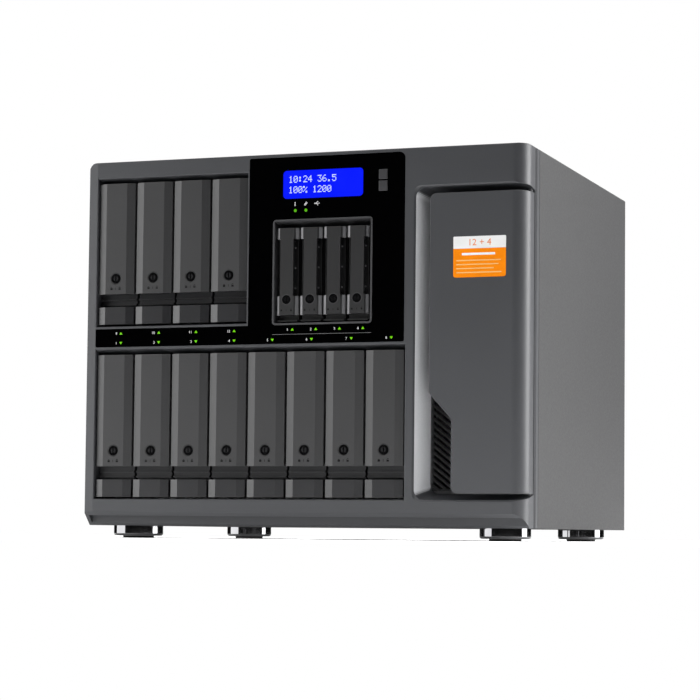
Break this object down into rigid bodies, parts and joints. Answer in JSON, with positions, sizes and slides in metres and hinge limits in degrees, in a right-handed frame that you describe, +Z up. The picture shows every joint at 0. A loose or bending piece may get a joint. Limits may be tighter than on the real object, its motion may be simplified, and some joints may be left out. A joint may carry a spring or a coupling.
{
  "type": "disk shelf enclosure",
  "caption": "Desktop drive shelf with upright lever trays in two rows, a small drive bay, a two-line display, a side-hinged door over the air intake, and rear fans.",
  "frame": {"origin": "middle of the footprint, on the floor under the foot pads", "axes": "+X to the right seen from the front, +Y from front to back, +Z up"},
  "size_m": [0.3698, 0.3198, 0.3038],
  "materials": {
    "bezel_plastic": "fine satin texture",
    "surround_plastic": "satin",
    "key_plastic": "satin",
    "grille_plastic": "satin",
    "tray_plastic": "fine satin texture",
    "lever_plastic": "fine satin texture",
    "cover_paint": "powder coat",
    "rear_paint": "powder coat",
    "plated_steel": "zinc plated",
    "supply_steel": "zinc plated",
    "circuit_board": "solder mask",
    "window_gloss": "polished",
    "lcd_face": "backlit display",
    "light_green": "light pipe",
    "fan_plastic": "satin",
    "inlet_plastic": "satin",
    "foot_chrome": "polished",
    "foot_rubber": "matt",
    "screw_steel": "blackened"
  },
  "bodies": {
    "shelf": {"front_bezel": "bezel_plastic", "top_cover": "cover_paint", "base_pan": "plated_steel", "rear_panel": "rear_paint", "inner_frame": "plated_steel", "lower_bay_cage": "plated_steel", "upper_bay_cage": "plated_steel", "ssd_bay_cage": "plated_steel", "drive_backplanes": "circuit_board", "display_window": "window_gloss", "lcd_module": "lcd_face", "ssd_bay_surround": "surround_plastic", "intake_panel": "grille_plastic", "fan_housings": "fan_plastic", "power_supply": "supply_steel", "controller_board": "circuit_board", "power_inlet": "inlet_plastic", "foot_rings": "foot_chrome", "foot_pads": "foot_rubber", "case_screws": "screw_steel", "status_lights": "light_green"},
    "door": {"door": "bezel_plastic"},
    "power_button": {"power_button": "key_plastic"},
    "select_button": {"select_button": "key_plastic"},
    "enter_button": {"enter_button": "key_plastic"},
    "fan_rotor_lower": {"fan_rotor_lower": "fan_plastic"},
    "fan_rotor_upper": {"fan_rotor_upper": "fan_plastic"},
    "psu_fan_rotor": {"psu_fan_rotor": "fan_plastic"},
    "hdd_tray_1": {"hdd_tray_1": "tray_plastic"},
    "hdd_lever_1": {"hdd_lever_1": "lever_plastic"},
    "hdd_tray_2": {"hdd_tray_2": "tray_plastic"},
    "hdd_lever_2": {"hdd_lever_2": "lever_plastic"},
    "hdd_tray_3": {"hdd_tray_3": "tray_plastic"},
    "hdd_lever_3": {"hdd_lever_3": "lever_plastic"},
    "hdd_tray_4": {"hdd_tray_4": "tray_plastic"},
    "hdd_lever_4": {"hdd_lever_4": "lever_plastic"},
    "hdd_tray_5": {"hdd_tray_5": "tray_plastic"},
    "hdd_lever_5": {"hdd_lever_5": "lever_plastic"},
    "hdd_tray_6": {"hdd_tray_6": "tray_plastic"},
    "hdd_lever_6": {"hdd_lever_6": "lever_plastic"},
    "hdd_tray_7": {"hdd_tray_7": "tray_plastic"},
    "hdd_lever_7": {"hdd_lever_7": "lever_plastic"},
    "hdd_tray_8": {"hdd_tray_8": "tray_plastic"},
    "hdd_lever_8": {"hdd_lever_8": "lever_plastic"},
    "hdd_tray_9": {"hdd_tray_9": "tray_plastic"},
    "hdd_lever_9": {"hdd_lever_9": "lever_plastic"},
    "hdd_tray_10": {"hdd_tray_10": "tray_plastic"},
    "hdd_lever_10": {"hdd_lever_10": "lever_plastic"},
    "hdd_tray_11": {"hdd_tray_11": "tray_plastic"},
    "hdd_lever_11": {"hdd_lever_11": "lever_plastic"},
    "hdd_tray_12": {"hdd_tray_12": "tray_plastic"},
    "hdd_lever_12": {"hdd_lever_12": "lever_plastic"},
    "ssd_tray_1": {"ssd_tray_1": "tray_plastic"},
    "ssd_lever_1": {"ssd_lever_1": "lever_plastic"},
    "ssd_tray_2": {"ssd_tray_2": "tray_plastic"},
    "ssd_lever_2": {"ssd_lever_2": "lever_plastic"},
    "ssd_tray_3": {"ssd_tray_3": "tray_plastic"},
    "ssd_lever_3": {"ssd_lever_3": "lever_plastic"},
    "ssd_tray_4": {"ssd_tray_4": "tray_plastic"},
    "ssd_lever_4": {"ssd_lever_4": "lever_plastic"}
  },
  "joints": [
    {"name": "door_hinge", "type": "hinge", "parent": "shelf", "child": "door", "pos_m": [0.18194, -0.1405, 0.1519], "axis": [0, 0, 1], "range_deg": [0, 95]},
    {"name": "power_press", "type": "slide", "parent": "shelf", "child": "power_button", "axis": [0, 1, 0], "range_m": [0, 0.0015], "stiffness_N_per_m": 600, "springref_m": -0.0008},
    {"name": "select_press", "type": "slide", "parent": "shelf", "child": "select_button", "axis": [0, 1, 0], "range_m": [0, 0.001], "stiffness_N_per_m": 500, "springref_m": -0.0008},
    {"name": "enter_press", "type": "slide", "parent": "shelf", "child": "enter_button", "axis": [0, 1, 0], "range_m": [0, 0.001], "stiffness_N_per_m": 500, "springref_m": -0.0008},
    {"name": "fan_lower_spin", "type": "hinge", "parent": "shelf", "child": "fan_rotor_lower", "pos_m": [-0.1, 0.143, 0.086], "axis": [0, 1, 0], "continuous": true},
    {"name": "fan_upper_spin", "type": "hinge", "parent": "shelf", "child": "fan_rotor_upper", "pos_m": [-0.1, 0.143, 0.218], "axis": [0, 1, 0], "continuous": true},
    {"name": "psu_fan_spin", "type": "hinge", "parent": "shelf", "child": "psu_fan_rotor", "pos_m": [0.137, 0.146, 0.1154], "axis": [0, 1, 0], "continuous": true},
    {"name": "hdd_tray_1_slide", "type": "slide", "parent": "shelf", "child": "hdd_tray_1", "axis": [0, -1, 0], "range_m": [0, 0.16]},
    {"name": "hdd_lever_1_hinge", "type": "hinge", "parent": "hdd_tray_1", "child": "hdd_lever_1", "pos_m": [-0.16, -0.1549, 0.143], "axis": [-1, 0, 0], "range_deg": [0, 60]},
    {"name": "hdd_tray_2_slide", "type": "slide", "parent": "shelf", "child": "hdd_tray_2", "axis": [0, -1, 0], "range_m": [0, 0.16]},
    {"name": "hdd_lever_2_hinge", "type": "hinge", "parent": "hdd_tray_2", "child": "hdd_lever_2", "pos_m": [-0.12705, -0.1549, 0.143], "axis": [-1, 0, 0], "range_deg": [0, 60]},
    {"name": "hdd_tray_3_slide", "type": "slide", "parent": "shelf", "child": "hdd_tray_3", "axis": [0, -1, 0], "range_m": [0, 0.16]},
    {"name": "hdd_lever_3_hinge", "type": "hinge", "parent": "hdd_tray_3", "child": "hdd_lever_3", "pos_m": [-0.0941, -0.1549, 0.143], "axis": [-1, 0, 0], "range_deg": [0, 60]},
    {"name": "hdd_tray_4_slide", "type": "slide", "parent": "shelf", "child": "hdd_tray_4", "axis": [0, -1, 0], "range_m": [0, 0.16]},
    {"name": "hdd_lever_4_hinge", "type": "hinge", "parent": "hdd_tray_4", "child": "hdd_lever_4", "pos_m": [-0.06115, -0.1549, 0.143], "axis": [-1, 0, 0], "range_deg": [0, 60]},
    {"name": "hdd_tray_5_slide", "type": "slide", "parent": "shelf", "child": "hdd_tray_5", "axis": [0, -1, 0], "range_m": [0, 0.16]},
    {"name": "hdd_lever_5_hinge", "type": "hinge", "parent": "hdd_tray_5", "child": "hdd_lever_5", "pos_m": [-0.0282, -0.1549, 0.143], "axis": [-1, 0, 0], "range_deg": [0, 60]},
    {"name": "hdd_tray_6_slide", "type": "slide", "parent": "shelf", "child": "hdd_tray_6", "axis": [0, -1, 0], "range_m": [0, 0.16]},
    {"name": "hdd_lever_6_hinge", "type": "hinge", "parent": "hdd_tray_6", "child": "hdd_lever_6", "pos_m": [0.00475, -0.1549, 0.143], "axis": [-1, 0, 0], "range_deg": [0, 60]},
    {"name": "hdd_tray_7_slide", "type": "slide", "parent": "shelf", "child": "hdd_tray_7", "axis": [0, -1, 0], "range_m": [0, 0.16]},
    {"name": "hdd_lever_7_hinge", "type": "hinge", "parent": "hdd_tray_7", "child": "hdd_lever_7", "pos_m": [0.0377, -0.1549, 0.143], "axis": [-1, 0, 0], "range_deg": [0, 60]},
    {"name": "hdd_tray_8_slide", "type": "slide", "parent": "shelf", "child": "hdd_tray_8", "axis": [0, -1, 0], "range_m": [0, 0.16]},
    {"name": "hdd_lever_8_hinge", "type": "hinge", "parent": "hdd_tray_8", "child": "hdd_lever_8", "pos_m": [0.07065, -0.1549, 0.143], "axis": [-1, 0, 0], "range_deg": [0, 60]},
    {"name": "hdd_tray_9_slide", "type": "slide", "parent": "shelf", "child": "hdd_tray_9", "axis": [0, -1, 0], "range_m": [0, 0.16]},
    {"name": "hdd_lever_9_hinge", "type": "hinge", "parent": "hdd_tray_9", "child": "hdd_lever_9", "pos_m": [-0.16, -0.1549, 0.28205], "axis": [-1, 0, 0], "range_deg": [0, 60]},
    {"name": "hdd_tray_10_slide", "type": "slide", "parent": "shelf", "child": "hdd_tray_10", "axis": [0, -1, 0], "range_m": [0, 0.16]},
    {"name": "hdd_lever_10_hinge", "type": "hinge", "parent": "hdd_tray_10", "child": "hdd_lever_10", "pos_m": [-0.12705, -0.1549, 0.28205], "axis": [-1, 0, 0], "range_deg": [0, 60]},
    {"name": "hdd_tray_11_slide", "type": "slide", "parent": "shelf", "child": "hdd_tray_11", "axis": [0, -1, 0], "range_m": [0, 0.16]},
    {"name": "hdd_lever_11_hinge", "type": "hinge", "parent": "hdd_tray_11", "child": "hdd_lever_11", "pos_m": [-0.0941, -0.1549, 0.28205], "axis": [-1, 0, 0], "range_deg": [0, 60]},
    {"name": "hdd_tray_12_slide", "type": "slide", "parent": "shelf", "child": "hdd_tray_12", "axis": [0, -1, 0], "range_m": [0, 0.16]},
    {"name": "hdd_lever_12_hinge", "type": "hinge", "parent": "hdd_tray_12", "child": "hdd_lever_12", "pos_m": [-0.06115, -0.1549, 0.28205], "axis": [-1, 0, 0], "range_deg": [0, 60]},
    {"name": "ssd_tray_1_slide", "type": "slide", "parent": "shelf", "child": "ssd_tray_1", "axis": [0, -1, 0], "range_m": [0, 0.105]},
    {"name": "ssd_lever_1_hinge", "type": "hinge", "parent": "ssd_tray_1", "child": "ssd_lever_1", "pos_m": [-0.01145, -0.1563, 0.24185], "axis": [-1, 0, 0], "range_deg": [0, 60]},
    {"name": "ssd_tray_2_slide", "type": "slide", "parent": "shelf", "child": "ssd_tray_2", "axis": [0, -1, 0], "range_m": [0, 0.105]},
    {"name": "ssd_lever_2_hinge", "type": "hinge", "parent": "ssd_tray_2", "child": "ssd_lever_2", "pos_m": [0.0082, -0.1563, 0.24185], "axis": [-1, 0, 0], "range_deg": [0, 60]},
    {"name": "ssd_tray_3_slide", "type": "slide", "parent": "shelf", "child": "ssd_tray_3", "axis": [0, -1, 0], "range_m": [0, 0.105]},
    {"name": "ssd_lever_3_hinge", "type": "hinge", "parent": "ssd_tray_3", "child": "ssd_lever_3", "pos_m": [0.02785, -0.1563, 0.24185], "axis": [-1, 0, 0], "range_deg": [0, 60]},
    {"name": "ssd_tray_4_slide", "type": "slide", "parent": "shelf", "child": "ssd_tray_4", "axis": [0, -1, 0], "range_m": [0, 0.105]},
    {"name": "ssd_lever_4_hinge", "type": "hinge", "parent": "ssd_tray_4", "child": "ssd_lever_4", "pos_m": [0.0475, -0.1563, 0.24185], "axis": [-1, 0, 0], "range_deg": [0, 60]}
  ]
}
